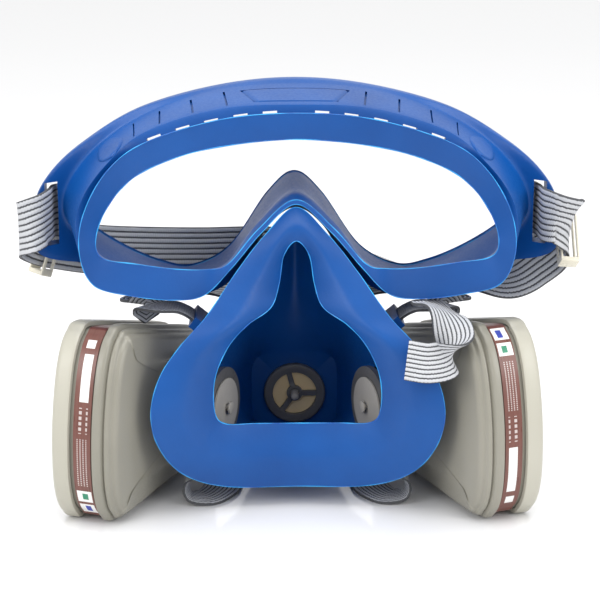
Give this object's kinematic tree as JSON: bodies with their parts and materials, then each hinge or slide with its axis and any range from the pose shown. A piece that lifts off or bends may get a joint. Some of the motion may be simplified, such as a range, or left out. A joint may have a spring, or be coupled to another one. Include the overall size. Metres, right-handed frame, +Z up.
{
  "type": "respirator",
  "caption": "Blue rubber half mask joined to wide goggles, with side filter cartridges, an exhalation valve and elastic straps.",
  "frame": {"origin": "middle of the footprint, on the surface it stands on", "axes": "+Z up, +Y the way the wearer looks, +X the wearer's right"},
  "size_m": [0.2135, 0.1076, 0.158],
  "materials": {
    "blue_rubber": "satin moulded rubber",
    "clear_lens": "clear polished polycarbonate",
    "dark_plastic": "moulded, fine grain",
    "grey_rubber": "soft silicone",
    "amber_rubber": "soft silicone, satin",
    "black_rubber": "soft, matt",
    "elastic_webbing": "woven elastic with pale rows",
    "ivory_plastic": "moulded, low gloss",
    "case_plastic": "moulded, satin",
    "label_film": "printed film, blank blocks",
    "carbon_granules": "loose granules, dull",
    "filter_felt": "needled felt",
    "cap_plastic": "moulded, satin"
  },
  "bodies": {
    "frame": {"half_mask": "blue_rubber", "goggle_frame": "blue_rubber", "lens": "clear_lens", "valve_seat": "dark_plastic", "valve_pin": "grey_rubber", "inlet_left": "dark_plastic", "inlet_right": "dark_plastic", "flap_button_left": "grey_rubber", "flap_button_right": "grey_rubber", "gasket_left": "black_rubber", "gasket_right": "black_rubber", "goggle_strap": "elastic_webbing", "head_strap": "elastic_webbing", "neck_strap": "elastic_webbing", "head_strap_tail": "elastic_webbing", "buckle_left": "ivory_plastic", "buckle_right": "ivory_plastic"},
    "exhalation_flap": {"exhalation_flap": "amber_rubber"},
    "valve_cover": {"valve_cover": "blue_rubber"},
    "inhalation_flap_left": {"inhalation_flap_left": "grey_rubber"},
    "inhalation_flap_right": {"inhalation_flap_right": "grey_rubber"},
    "cartridge_left": {"cartridge_case_left": "case_plastic", "cartridge_label_left": "label_film", "carbon_bed_left": "carbon_granules", "prefilter_left": "filter_felt"},
    "cap_left": {"cartridge_cap_left": "cap_plastic"},
    "cartridge_right": {"cartridge_case_right": "case_plastic", "cartridge_label_right": "label_film", "carbon_bed_right": "carbon_granules", "prefilter_right": "filter_felt"},
    "cap_right": {"cartridge_cap_right": "cap_plastic"}
  },
  "joints": [
    {"name": "exhalation_lift", "type": "slide", "parent": "frame", "child": "exhalation_flap", "axis": [0, 1, 0], "range_m": [0, 0.0014], "stiffness_N_per_m": 20},
    {"name": "cover_pull", "type": "slide", "parent": "frame", "child": "valve_cover", "axis": [0, 1, 0], "range_m": [0, 0.015]},
    {"name": "inhalation_lift_left", "type": "slide", "parent": "frame", "child": "inhalation_flap_left", "axis": [0.9272, -0.3746, 0], "range_m": [0, 0.0009], "stiffness_N_per_m": 20},
    {"name": "cartridge_twist_left", "type": "hinge", "parent": "frame", "child": "cartridge_left", "pos_m": [-0.036, -0.008, 0.0346], "axis": [0.9272, -0.3746, 0], "range_deg": [0, 12]},
    {"name": "cap_pull_left", "type": "slide", "parent": "cartridge_left", "child": "cap_left", "axis": [-0.9272, 0.3746, 0], "range_m": [0, 0.02]},
    {"name": "inhalation_lift_right", "type": "slide", "parent": "frame", "child": "inhalation_flap_right", "axis": [-0.9272, -0.3746, 0], "range_m": [0, 0.0009], "stiffness_N_per_m": 20},
    {"name": "cartridge_twist_right", "type": "hinge", "parent": "frame", "child": "cartridge_right", "pos_m": [0.036, -0.008, 0.0346], "axis": [0.9272, 0.3746, 0], "range_deg": [0, 12]},
    {"name": "cap_pull_right", "type": "slide", "parent": "cartridge_right", "child": "cap_right", "axis": [0.9272, 0.3746, 0], "range_m": [0, 0.02]}
  ]
}
